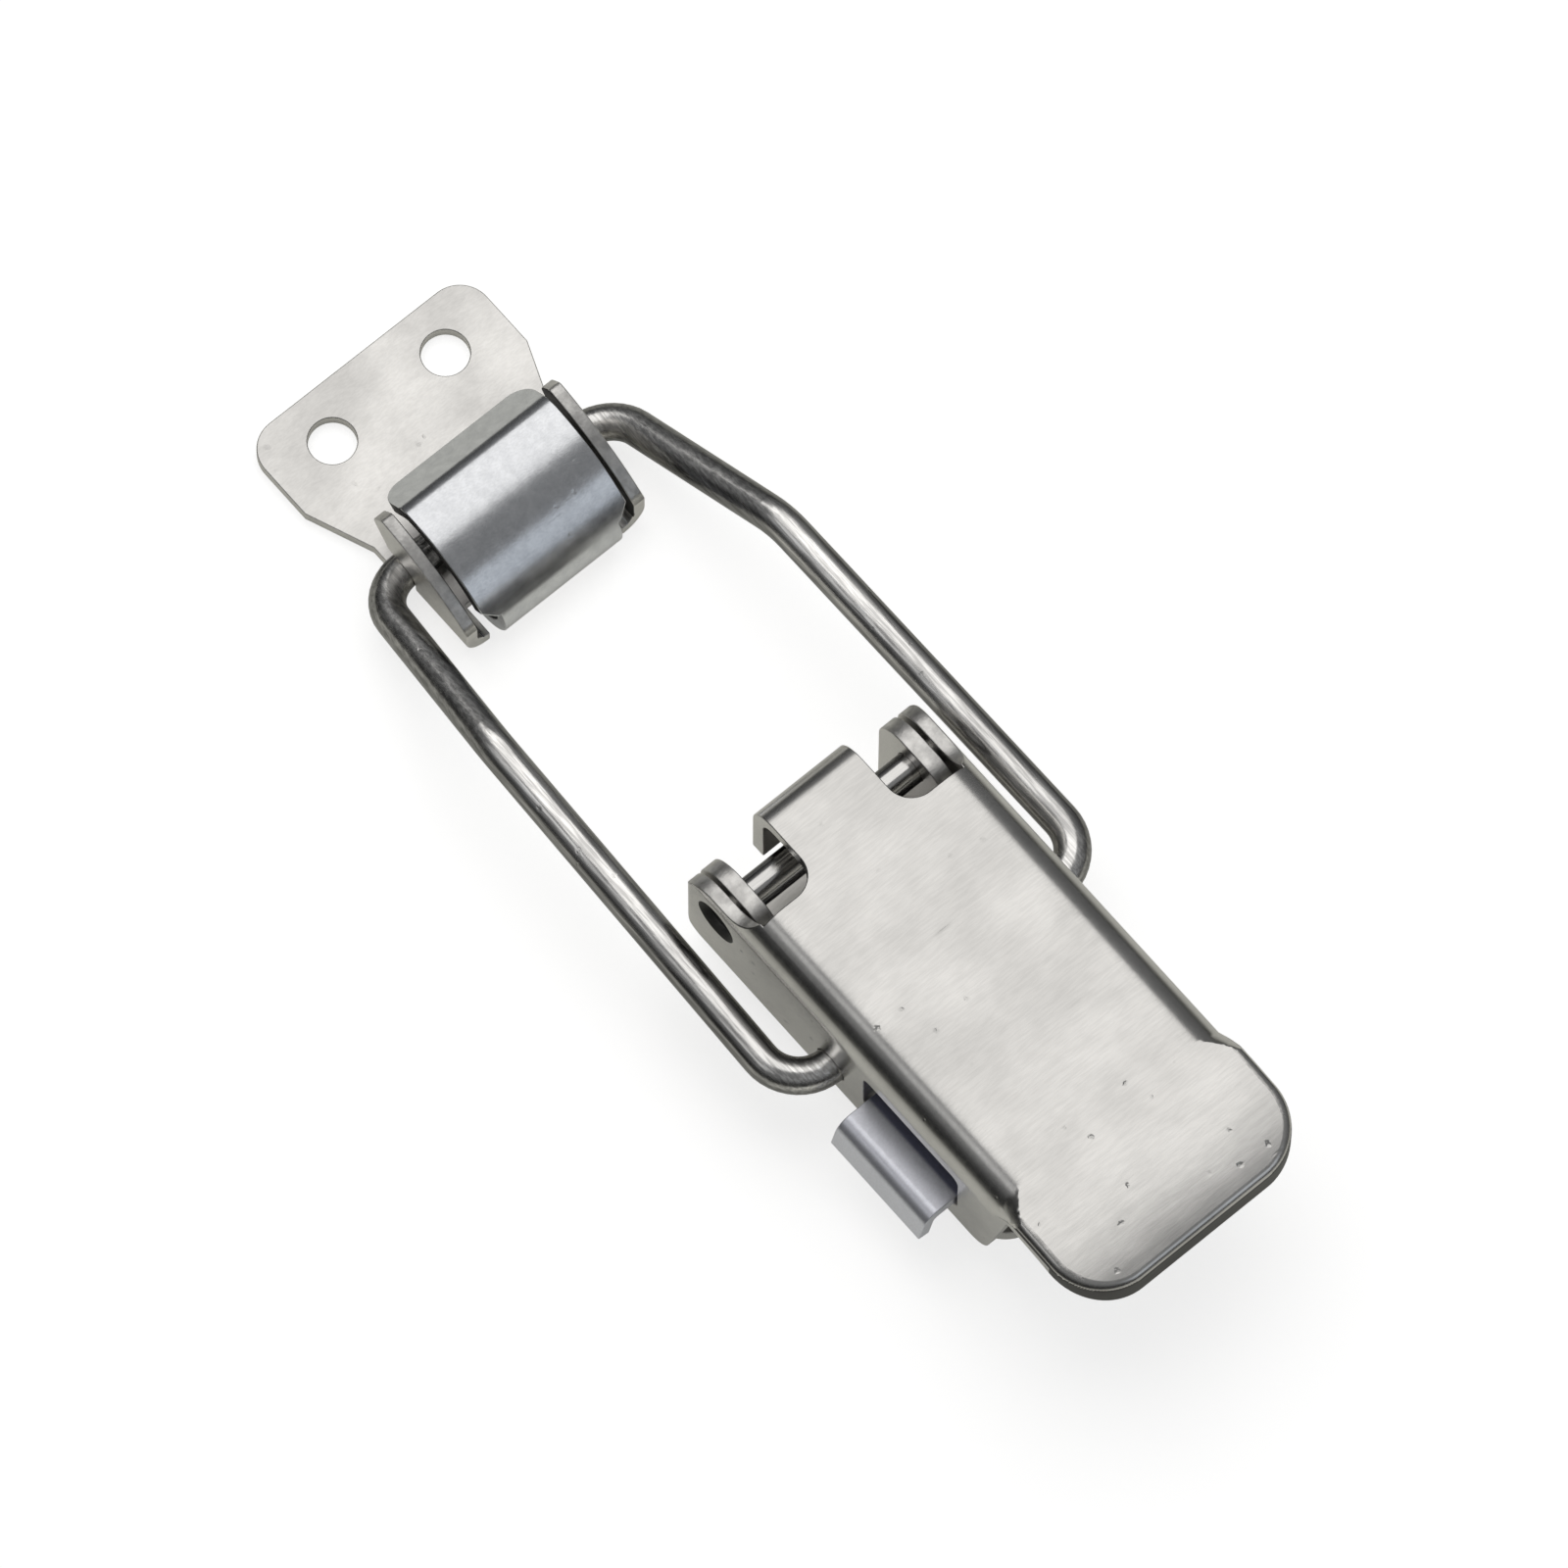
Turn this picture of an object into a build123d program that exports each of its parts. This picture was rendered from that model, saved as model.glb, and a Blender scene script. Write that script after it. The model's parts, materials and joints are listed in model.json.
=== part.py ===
from build123d import *
import os
from math import cos, pi, radians, sin, sqrt, tan

# Over centre toggle latch, shown closed. Millimetres.
# X runs from the keeper to the lever's thumb tip, Y across the latch, Z away from the panel.
# The origin is on the mounting face, on the mid-plane, under the lever's pivot pin.

# ---------------------------------------------------------------- driving dimensions
# sheets and wires
lever_sheet = 1.4
base_sheet = 1.6
keeper_sheet = 1.2
catch_sheet = 1.2
wire_dia = 3.2
pin_dia = 3.0
spring_wire_dia = 0.7

# running fits and gaps
pin_clearance = 0.05        # radial, pivot pin in the lever's ears
wire_clearance = 0.08       # radial, bail ends in the lever's flanges and the catch's ears
side_gap = 0.35             # each side, between sheets that slide past each other
hook_gap = 0.12             # round the crossbar in the keeper's hooks
screw_hole_dia = 4.2
pin_mouth_chamfer = 0.65
pin_recess = 0.55
edge_break = 0.3

# lever
lever_width = 24.5
lever_height = 13.5
lever_fold_radius = 3.5
flange_bottom_z = 4.9
ear_front_x = -4.0
ear_over_pin = 3.7
ear_top_radius = 3.4
ear_corner_radius = 2.2
ear_sweep_radius = 3.2
pivot_drop = 6.2
bail_hole_x = 14.6
bail_hole_rise = 3.45
front_tab_width = 9.6
front_tab_x = -4.1
front_tab_drop = 9.0
front_tab_fold_radius = 2.8
notch_back_x = 4.4
notch_radius = 2.4
flange_rear_bottom_x = 34.2
flange_rear_top_x = 36.8
tip_x = 47.6
tip_corner_radius = 5.5
tip_side_depth = 1.9
tip_rim_depth = 2.9
tip_rim_fold_radius = 0.9
tip_droop = 1.3
tip_droop_start_x = 37.0
tip_fold_start_x = 35.2
tip_fold_run = 3.8
tip_fold_spread = 1.0

# thumb tab of the safety catch and its window in the flange
tab_front_x = 19.1
tab_length = 11.2
tab_rise = 0.6
tab_reach = 3.0
tab_lip_length = 3.3
tab_lip_lean = 14.0
tab_bend_radius = 1.7
window_end_gap = 0.35
window_headroom = 4.7
window_footroom = 0.35
window_corner_radius = 0.8

# wire bail
crossbar_x = -43.6
crossbar_half_width = 12.9
kink_x = -24.4
kink_half_width = 15.6
kink_rise = 1.65
arm_half_width = 16.4
bail_corner_radius = 4.0
kink_radius = 8.0
bail_end_half_width = 3.8

# keeper
keeper_front_x = -61.7
keeper_half_width = 12.2
keeper_corner_radius = 3.0
taper_start_x = -53.4
taper_end_x = -47.3
ear_outer_half_width = 9.75
keeper_bend_radius = 2.5
keeper_ear_rear_x = -35.1
keeper_hole_x = -57.0
keeper_hole_spacing = 12.4
tongue_half_width = 7.9
tongue_root_half_width = 6.4
tongue_rear_radius = 3.2
tongue_top_radius = 12.0
tongue_crest_x = -44.4
tongue_crest_z = 10.15
tongue_bend_radius = 2.6
tongue_lip_length = 3.4
tongue_lip_angle = 41.0
tongue_lip_corner_radius = 2.0
tongue_root_chamfer = 1.2
nose_x = -47.3
nose_top_z = 9.4
nose_tip_z = 7.9
ear_rear_z = 4.2
ear_arch_z = 8.1

# base
base_front_x = -4.1
base_rear_x = 34.3
base_rear_corner_radius = 3.7
base_bend_radius = 2.5
base_ear_over_pin = 3.5
base_ear_top_radius = 3.4
base_corner_radius = 2.0
base_ear_rear_x = 4.2
base_wall_z = 3.6
base_rest_front_x = 6.0
base_rest_rear_x = 18.0
base_wall_rear_x = 29.0
base_relief = 0.8
base_hole_front_x = 4.5
base_hole_rear_x = 26.5
rest_gap = 0.1

# ledge lanced out of the base's floor, under which the catch hooks
ledge_width = 6.0
ledge_root_x = 9.2
ledge_slope = 60.0
ledge_reach = 0.3
ledge_underside_z = 4.4
ledge_bend_radius = 1.0
ledge_window_length = 7.0
ledge_window_gap = 0.4

# safety catch
catch_front_gap = 0.3
catch_leg_width = 5.0
catch_foot_gap = 0.3
catch_bend_radius = 1.6
catch_relief = 0.4

# torsion spring
spring_turns = 2
spring_wire_sides = 6
spring_pitch = 0.78
spring_bore_gap = 0.2
spring_leg_angle = 75.0     # polar angle where the leg on the catch leaves the coil
spring_back_angle = -10.0   # polar angle where the leg under the lever leaves the coil
spring_side_gap = 0.1
spring_ear_gap = 0.6

# ---------------------------------------------------------------- worked out from them
lever_top_z = flange_bottom_z + lever_height
pivot_z = lever_top_z - pivot_drop
ear_top_z = pivot_z + ear_over_pin
bail_hole_z = flange_bottom_z + bail_hole_rise
wire_radius = wire_dia / 2
pin_radius = pin_dia / 2
pin_hole_radius = pin_radius + pin_clearance
lever_half_width = lever_width / 2
lever_inner_half_width = lever_half_width - lever_sheet
base_half_width = lever_inner_half_width - side_gap
base_inner_half_width = base_half_width - base_sheet
catch_half_width = base_inner_half_width - side_gap
hook_slot_radius = wire_radius + hook_gap
crossbar_z = keeper_sheet + hook_slot_radius
catch_top_z = bail_hole_z + tab_rise
spring_radius = wire_radius + spring_bore_gap + spring_wire_dia / 2
catch_front_x = bail_hole_x + spring_radius + spring_wire_dia / 2 + catch_front_gap
tab_rear_x = tab_front_x + tab_length
front_tab_half_width = front_tab_width / 2
rim_bottom_z = lever_top_z - tip_droop - tip_rim_depth
tip_side_z = lever_top_z - tip_side_depth
rest_z = bail_hole_z - wire_radius - rest_gap
ledge_end_x = bail_hole_x + ledge_reach
over = 1.0                  # how far a cutting shape runs past what it cuts
near = 0.01                 # lengths closer than this count as equal
middle = 0.5                # the middle of an edge, along it
level = 0.5                 # an edge that climbs less than this per length counts as level


def save(piece, name):
    """Label a finished piece and write its STEP file."""
    piece.part.label = name
    export_step(piece.part, f"parts/{name}.step")


def corner_at(x, y):
    """The corner of the sketch being drawn that lies at x, y."""
    return vertices().sort_by_distance((x, y))[0]


os.makedirs("parts", exist_ok=True)

# ---------------------------------------------------------------- lever
# The outside of the folded sheet: plan outline, side view and cross-section, one cut by the next.
droop_length = tip_x - tip_droop_start_x
droop_radius = (droop_length**2 + tip_droop**2) / (2 * tip_droop)
tip_end_z = lever_top_z - tip_droop
fold_leave = Vector(tip_fold_run, tip_fold_spread, tip_fold_spread)

# what the long folds take off the outside's edge: their rounding leaves it past the flanges
with BuildPart() as fold_cutter:
    with BuildSketch(Plane.YZ.offset(tip_fold_start_x)) as fold_corner:
        with Locations((lever_half_width - lever_fold_radius, lever_top_z - lever_fold_radius)):
            Rectangle(
                lever_fold_radius + over, lever_fold_radius + over, align=(Align.MIN, Align.MIN)
            )
            Circle(lever_fold_radius, mode=Mode.SUBTRACT)
    extrude(amount=front_tab_x - over - tip_fold_start_x)
    extrude(fold_corner.sketch, amount=fold_leave.length, dir=fold_leave)
    mirror(about=Plane.XZ)

with BuildPart() as lever_outside:
    with BuildSketch(Plane.XY.offset(flange_bottom_z)):
        with Locations((front_tab_x, 0)):
            Rectangle(tip_x - front_tab_x, lever_width, align=(Align.MIN, Align.CENTER))
        fillet(vertices().group_by(Axis.X)[-1], tip_corner_radius)
    extrude(amount=lever_height)
    with BuildSketch(Plane.XZ):
        with BuildLine():
            Line((front_tab_x, flange_bottom_z), (front_tab_x, lever_top_z))
            Line((front_tab_x, lever_top_z), (tip_droop_start_x, lever_top_z))
            TangentArc((tip_droop_start_x, lever_top_z), (tip_x, tip_end_z), tangent=(1, 0))
            Line((tip_x, tip_end_z), (tip_x, rim_bottom_z))
            TangentArc(
                (flange_rear_top_x, tip_side_z), (tip_x, rim_bottom_z), tangent=(1, 0)
            )
            Line((flange_rear_top_x, tip_side_z), (flange_rear_bottom_x, flange_bottom_z))
            Line((flange_rear_bottom_x, flange_bottom_z), (front_tab_x, flange_bottom_z))
        make_face()
        front_top = vertices().group_by(Axis.X)[0].sort_by(Axis.Y)[-1]
        fillet(front_top, front_tab_fold_radius)
        flange_rear = vertices().group_by(Axis.Y)[0].sort_by(Axis.X)[-1]
        fillet(flange_rear, ear_corner_radius)
    extrude(amount=lever_half_width + over, both=True, mode=Mode.INTERSECT)
    rim = edges().filter_by(
        lambda e: e.center().Z > tip_end_z - tip_rim_fold_radius / 2
        and abs(e.tangent_at(middle).Z) < level
        and (abs(e.center().Y) > over or e.center().X > tip_x - over)
    )
    fillet(rim, tip_rim_fold_radius)
    add(fold_cutter.part, mode=Mode.SUBTRACT)

# The hollow inside the sheet: the same three views, one sheet thickness further in.
inner_front_x = front_tab_x + lever_sheet
inner_tip_x = tip_x - lever_sheet
inner_top_z = lever_top_z - lever_sheet
inner_droop_z = (
    lever_top_z
    - droop_radius
    + sqrt((droop_radius - lever_sheet) ** 2 - (inner_tip_x - tip_droop_start_x) ** 2)
)
hollow_bottom_z = flange_bottom_z - over

with BuildPart() as lever_hollow:
    with BuildSketch(Plane.XY.offset(hollow_bottom_z)):
        with Locations((inner_front_x, 0)):
            Rectangle(
                inner_tip_x - inner_front_x,
                2 * lever_inner_half_width,
                align=(Align.MIN, Align.CENTER),
            )
        fillet(vertices().group_by(Axis.X)[-1], tip_corner_radius - lever_sheet)
    extrude(amount=inner_top_z - hollow_bottom_z)
    with BuildSketch(Plane.XZ):
        with BuildLine():
            Line((inner_front_x, hollow_bottom_z), (inner_front_x, inner_top_z))
            Line((inner_front_x, inner_top_z), (tip_droop_start_x, inner_top_z))
            TangentArc(
                (tip_droop_start_x, inner_top_z), (inner_tip_x, inner_droop_z), tangent=(1, 0)
            )
            Line((inner_tip_x, inner_droop_z), (inner_tip_x, hollow_bottom_z))
            Line((inner_tip_x, hollow_bottom_z), (inner_front_x, hollow_bottom_z))
        make_face()
        inner_front_top = vertices().group_by(Axis.X)[0].sort_by(Axis.Y)[-1]
        fillet(inner_front_top, front_tab_fold_radius - lever_sheet)
    extrude(amount=lever_half_width + over, both=True, mode=Mode.INTERSECT)
    with BuildSketch(Plane.YZ.offset(inner_front_x)):
        with Locations((0, hollow_bottom_z)):
            Rectangle(
                2 * lever_inner_half_width,
                inner_top_z - hollow_bottom_z,
                align=(Align.CENTER, Align.MIN),
            )
        fillet(vertices().group_by(Axis.Y)[-1], lever_fold_radius - lever_sheet)
    extrude(amount=inner_tip_x - inner_front_x, mode=Mode.INTERSECT)

with BuildPart() as lever:
    add(lever_outside.part)
    add(lever_hollow.part, mode=Mode.SUBTRACT)
    # notches either side of the front tab, right through from the tab to the flanges
    notch_front_x = front_tab_x - over
    with BuildSketch(Plane.XY.offset(hollow_bottom_z)):
        with BuildLine():
            Polyline(
                (notch_front_x, front_tab_half_width),
                (notch_back_x, front_tab_half_width),
                (notch_back_x, lever_inner_half_width),
                (notch_front_x, lever_inner_half_width),
                close=True,
            )
        make_face()
        fillet(vertices().group_by(Axis.X)[-1].sort_by(Axis.Y)[0], notch_radius)
        mirror(about=Plane.XZ)
    extrude(amount=lever_height + 2 * over, mode=Mode.SUBTRACT)
    # above, before and under the front of the ears, through the flanges only
    for side in (1, -1):
        with BuildSketch(Plane.XZ.offset(-side * lever_inner_half_width)):
            with BuildLine():
                Polyline(
                    (notch_front_x, lever_top_z + over),
                    (notch_back_x, lever_top_z + over),
                    (notch_back_x, ear_top_z),
                    (ear_front_x, ear_top_z),
                    (ear_front_x, flange_bottom_z),
                    (notch_back_x, flange_bottom_z),
                    (notch_back_x, hollow_bottom_z),
                    (notch_front_x, hollow_bottom_z),
                    close=True,
                )
            make_face()
            fillet(corner_at(notch_back_x, ear_top_z), ear_sweep_radius)
            fillet(corner_at(ear_front_x, ear_top_z), ear_top_radius)
            fillet(corner_at(ear_front_x, flange_bottom_z), ear_corner_radius)
        extrude(amount=-side * (lever_sheet + over), mode=Mode.SUBTRACT)
    # the front tab ends above the floor
    with BuildSketch(Plane.XY.offset(hollow_bottom_z)):
        with Locations((notch_front_x, 0)):
            Rectangle(
                inner_front_x - notch_front_x,
                front_tab_width + over,
                align=(Align.MIN, Align.CENTER),
            )
    extrude(amount=lever_top_z - front_tab_drop - hollow_bottom_z, mode=Mode.SUBTRACT)
    # window for the thumb tab in the left flange
    with BuildSketch(Plane.XZ.offset(lever_inner_half_width - over)):
        with Locations((tab_front_x - window_end_gap, catch_top_z + window_headroom)):
            Rectangle(
                tab_length + 2 * window_end_gap,
                window_headroom + catch_sheet + window_footroom,
                align=(Align.MIN, Align.MAX),
            )
        fillet(vertices(), window_corner_radius)
    extrude(amount=lever_sheet + 2 * over, mode=Mode.SUBTRACT)
    # holes for the pivot pin and the bail's ends
    with BuildSketch(Plane.XZ):
        with Locations((0, pivot_z)):
            Circle(pin_hole_radius)
        with Locations((bail_hole_x, bail_hole_z)):
            Circle(wire_radius + wire_clearance)
    extrude(amount=lever_half_width + over, both=True, mode=Mode.SUBTRACT)
    pin_mouths = (
        edges()
        .filter_by(GeomType.CIRCLE)
        .filter_by(lambda e: abs(abs(e.center().Y) - lever_half_width) < near)
        .filter_by(lambda e: abs(e.radius - pin_hole_radius) < near)
    )
    chamfer(pin_mouths, pin_mouth_chamfer)
save(lever, "lever")

# ---------------------------------------------------------------- base
# A channel with the floor below: ears for the pin, side walls that the bail's ends rest on.
base_ear_top_z = pivot_z + base_ear_over_pin
base_flat_half_width = base_half_width - base_bend_radius
base_flat_x = base_wall_rear_x + base_relief
ear_top_corners = [(base_front_x, base_ear_top_z), (base_ear_rear_x, base_ear_top_z)]
wall_corners = [
    (base_rest_front_x, rest_z),
    (base_rest_rear_x, rest_z),
    (base_rest_rear_x + (rest_z - base_wall_z), base_wall_z),
    (base_wall_rear_x, base_wall_z),
]

with BuildPart() as base:
    with BuildSketch(Plane.YZ.offset(base_front_x)):
        Rectangle(2 * base_half_width, base_ear_top_z, align=(Align.CENTER, Align.MIN))
        fillet(vertices().group_by(Axis.Y)[0], base_bend_radius)
    extrude(amount=base_wall_rear_x - base_front_x)
    with BuildSketch(Plane.YZ.offset(base_front_x)):
        with Locations((0, base_sheet)):
            Rectangle(2 * base_inner_half_width, base_ear_top_z, align=(Align.CENTER, Align.MIN))
        fillet(vertices().group_by(Axis.Y)[0], base_bend_radius - base_sheet)
    extrude(amount=base_wall_rear_x - base_front_x, mode=Mode.SUBTRACT)
    # side view of the walls
    with BuildSketch(Plane.XZ):
        with BuildLine():
            Polyline(
                (base_front_x, 0),
                *ear_top_corners,
                *wall_corners,
                (base_wall_rear_x, 0),
                close=True,
            )
        make_face()
        for x, z in ear_top_corners:
            fillet(corner_at(x, z), base_ear_top_radius)
        for x, z in wall_corners:
            fillet(corner_at(x, z), base_corner_radius)
    extrude(amount=base_half_width + over, both=True, mode=Mode.INTERSECT)
    # flat tail of the floor, past the walls
    with BuildSketch(Plane.XY):
        with Locations((base_flat_x, 0)):
            Rectangle(
                base_rear_x - base_flat_x, 2 * base_half_width, align=(Align.MIN, Align.CENTER)
            )
        fillet(vertices().group_by(Axis.X)[-1], base_rear_corner_radius)
        with Locations((base_wall_rear_x - over, 0)):
            Rectangle(
                base_flat_x - base_wall_rear_x + 2 * over,
                2 * base_flat_half_width,
                align=(Align.MIN, Align.CENTER),
            )
    extrude(amount=base_sheet)
    # screw holes
    with Locations((base_hole_front_x, 0, base_sheet), (base_hole_rear_x, 0, base_sheet)):
        Hole(screw_hole_dia / 2, depth=base_sheet)
    # window that the ledge was lanced from, then the ledge
    with BuildSketch(Plane.XY):
        with Locations((ledge_root_x, 0)):
            Rectangle(
                ledge_window_length,
                ledge_width + 2 * ledge_window_gap,
                align=(Align.MIN, Align.CENTER),
            )
        fillet(vertices().group_by(Axis.X)[-1], ledge_window_gap)
    extrude(amount=base_sheet, mode=Mode.SUBTRACT)
    ledge_top_z = ledge_underside_z + base_sheet
    ledge_rise_length = ledge_underside_z / tan(radians(ledge_slope))
    with BuildSketch(Plane.XZ):
        with BuildLine():
            FilletPolyline(
                (ledge_root_x - over, base_sheet),
                (ledge_root_x, base_sheet),
                (ledge_root_x + ledge_rise_length, ledge_top_z),
                (ledge_end_x, ledge_top_z),
                radius=ledge_bend_radius,
            )
            offset(amount=base_sheet, side=Side.RIGHT)
        make_face()
    extrude(amount=ledge_width / 2, both=True)
    # pin holes in the ears
    with BuildSketch(Plane.XZ):
        with Locations((0, pivot_z)):
            Circle(pin_radius)
    extrude(amount=base_half_width + over, both=True, mode=Mode.SUBTRACT)
save(base, "base")

# ---------------------------------------------------------------- pivot pin
with BuildPart() as pivot_pin:
    with BuildSketch(Plane.XZ):
        with Locations((0, pivot_z)):
            Circle(pin_radius)
    extrude(amount=lever_half_width - pin_recess, both=True)
    chamfer(edges().filter_by(GeomType.CIRCLE), edge_break)
save(pivot_pin, "pivot_pin")

# ---------------------------------------------------------------- wire bail
# The wire's centre line, from one turned-in end round the crossbar to the other.
kink_z = bail_hole_z + kink_rise
half_route = [
    (crossbar_x, crossbar_half_width, crossbar_z),
    (kink_x, kink_half_width, kink_z),
    (bail_hole_x, arm_half_width, bail_hole_z),
    (bail_hole_x, bail_end_half_width, bail_hole_z),
]
bail_points = [(x, -y, z) for x, y, z in reversed(half_route)] + half_route
bail_bends = [bail_corner_radius, kink_radius, bail_corner_radius]

with BuildPart() as wire_bail:
    with BuildLine() as bail_route:
        FilletPolyline(*bail_points, radius=bail_bends + bail_bends)
    with BuildSketch(Plane(bail_route.line @ 0, z_dir=bail_route.line % 0)):
        Circle(wire_radius)
    sweep(path=bail_route.line)
save(wire_bail, "wire_bail")

# ---------------------------------------------------------------- keeper
# Floor plate, two hook ears folded up, and the tongue folded up behind and over the hooks.
keeper_flat_half_width = ear_outer_half_width - keeper_bend_radius
ear_inner_half_width = ear_outer_half_width - keeper_sheet
lip = radians(tongue_lip_angle)
keeper_hole_ys = (-keeper_hole_spacing / 2, keeper_hole_spacing / 2)

# side view of the tongue's outside: rear fold, long arch, and a lip bent down at the front
tongue_centre_z = tongue_crest_z - tongue_top_radius
centre_rise = tongue_rear_radius - tongue_centre_z
centre_gap = tongue_top_radius - tongue_rear_radius
centre_run = sqrt(centre_gap**2 - centre_rise**2)
rear_bend_x = tongue_crest_x + centre_run
tongue_start_x = crossbar_x + hook_slot_radius
tongue_join = (
    tongue_crest_x + tongue_top_radius * centre_run / centre_gap,
    tongue_centre_z + tongue_top_radius * centre_rise / centre_gap,
)
lip_bend_end = (
    tongue_crest_x - tongue_bend_radius * sin(lip),
    tongue_crest_z - tongue_bend_radius * (1 - cos(lip)),
)
lip_end = (
    lip_bend_end[0] - tongue_lip_length * cos(lip),
    lip_bend_end[1] - tongue_lip_length * sin(lip),
)
with BuildLine() as tongue_outline:
    RadiusArc(tongue_join, (tongue_crest_x, tongue_crest_z), -tongue_top_radius)
    TangentArc((tongue_crest_x, tongue_crest_z), lip_bend_end, tangent=(-1, 0))
    Line(lip_bend_end, lip_end)
tongue_top = tongue_outline.line

with BuildPart() as keeper:
    # ears: a channel, cut to the ears' side view
    with BuildSketch(Plane.YZ.offset(nose_x)):
        Rectangle(2 * ear_outer_half_width, tongue_crest_z, align=(Align.CENTER, Align.MIN))
        fillet(vertices().group_by(Axis.Y)[0], keeper_bend_radius)
    extrude(amount=keeper_ear_rear_x - nose_x)
    with BuildSketch(Plane.YZ.offset(nose_x)):
        with Locations((0, keeper_sheet)):
            Rectangle(
                2 * ear_inner_half_width, tongue_crest_z, align=(Align.CENTER, Align.MIN)
            )
        fillet(vertices().group_by(Axis.Y)[0], keeper_bend_radius - keeper_sheet)
    extrude(amount=keeper_ear_rear_x - nose_x, mode=Mode.SUBTRACT)
    slot_top_z = crossbar_z + hook_slot_radius
    with BuildSketch(Plane.XZ):
        with BuildLine():
            Line((crossbar_x, slot_top_z), (crossbar_x - hook_slot_radius, slot_top_z))
            Line((crossbar_x - hook_slot_radius, slot_top_z), (nose_x, nose_tip_z))
            Line((nose_x, nose_tip_z), (nose_x + keeper_sheet, nose_top_z))
            ThreePointArc(
                (nose_x + keeper_sheet, nose_top_z),
                ((nose_x + keeper_ear_rear_x) / 2, ear_arch_z),
                (keeper_ear_rear_x, ear_rear_z),
            )
            Line((keeper_ear_rear_x, ear_rear_z), (keeper_ear_rear_x, 0))
            Line((keeper_ear_rear_x, 0), (crossbar_x + hook_slot_radius, 0))
            Line(
                (crossbar_x + hook_slot_radius, 0), (crossbar_x + hook_slot_radius, crossbar_z)
            )
            ThreePointArc(
                (crossbar_x + hook_slot_radius, crossbar_z),
                (
                    crossbar_x + hook_slot_radius * cos(pi / 4),
                    crossbar_z + hook_slot_radius * sin(pi / 4),
                ),
                (crossbar_x, slot_top_z),
            )
        make_face()
        nose_corners = vertices().group_by(Axis.X)[0:2]
        fillet(nose_corners, keeper_sheet / 2)
    extrude(amount=ear_outer_half_width + over, both=True, mode=Mode.INTERSECT)
    # floor plate, narrow between the ears and wide before them
    with BuildSketch(Plane.XY):
        with BuildLine():
            Polyline(
                (keeper_front_x, keeper_half_width),
                (taper_start_x, keeper_half_width),
                (taper_end_x, ear_outer_half_width),
                (crossbar_x - hook_slot_radius, ear_outer_half_width),
                (crossbar_x - hook_slot_radius, keeper_flat_half_width),
                (crossbar_x + hook_slot_radius + over, keeper_flat_half_width),
                (crossbar_x + hook_slot_radius + over, 0),
                (keeper_front_x, 0),
                close=True,
            )
        make_face()
        mirror(about=Plane.XZ)
        fillet(vertices().group_by(Axis.X)[0], keeper_corner_radius)
    extrude(amount=keeper_sheet)
    # relief between the ears' roots and the tongue's
    with BuildSketch(Plane.XY):
        with Locations((rear_bend_x - keeper_sheet, 0)):
            Rectangle(
                tongue_rear_radius + 2 * keeper_sheet,
                2 * keeper_flat_half_width,
                align=(Align.MIN, Align.CENTER),
            )
    extrude(amount=tongue_crest_z, mode=Mode.SUBTRACT)
    # tongue: a narrow root round the rear fold, wider over the hooks
    with BuildSketch(Plane.XZ):
        with BuildLine():
            Line((tongue_start_x, 0), (rear_bend_x, 0))
            TangentArc((rear_bend_x, 0), tongue_join, tangent=(1, 0))
            add(tongue_top)
            offset(amount=keeper_sheet, side=Side.LEFT)
        make_face()
    extrude(amount=tongue_root_half_width, both=True)
    with BuildSketch(Plane.XZ):
        with BuildLine():
            add(tongue_top)
            offset(amount=keeper_sheet, side=Side.LEFT)
        make_face()
    extrude(amount=tongue_half_width, both=True)
    # holes and edges
    with Locations(*[(keeper_hole_x, y, keeper_sheet) for y in keeper_hole_ys]):
        Hole(screw_hole_dia / 2, depth=keeper_sheet)
    tongue_corners = edges().filter_by(
        lambda e: abs(abs(e.center().Y) - tongue_half_width) < near
        and abs(e.length - keeper_sheet) < near
    )
    fillet(tongue_corners.sort_by(Axis.X)[0:2], tongue_lip_corner_radius)
    chamfer(tongue_corners.sort_by(Axis.X)[-2:], tongue_root_chamfer)
save(keeper, "keeper")

# ---------------------------------------------------------------- safety catch
# A cross plate at the height of the bail's ends, ears round those ends, the thumb tab through
# the lever's window, and a leg whose foot stands before the base's ledge.
catch_bottom_z = catch_top_z - catch_sheet
catch_inner_half_width = catch_half_width - catch_sheet
catch_root_rear_x = tab_front_x - catch_relief
catch_ear_radius = catch_front_x - bail_hole_x
catch_ear_top_z = bail_hole_z + catch_ear_radius
tab_bend_y = -(lever_half_width + tab_reach)
tab_join_y = tab_bend_y + tab_bend_radius + catch_sheet
lean = radians(tab_lip_lean)
tab_inner_bend_y = tab_bend_y + catch_sheet * tan((pi / 2 - lean) / 2)
lip_outer_end = (
    tab_bend_y - tab_lip_length * sin(lean), catch_top_z - tab_lip_length * cos(lean)
)
lip_inner_end = (
    lip_outer_end[0] + catch_sheet * cos(lean), lip_outer_end[1] - catch_sheet * sin(lean)
)
foot_top_z = ledge_underside_z - catch_foot_gap
foot_bottom_z = foot_top_z - catch_sheet
foot_tip_x = ledge_end_x + catch_foot_gap
leg_rear_x = catch_front_x + catch_sheet
leg_half_width = catch_leg_width / 2
leg_root_x = leg_rear_x + catch_bend_radius

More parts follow.
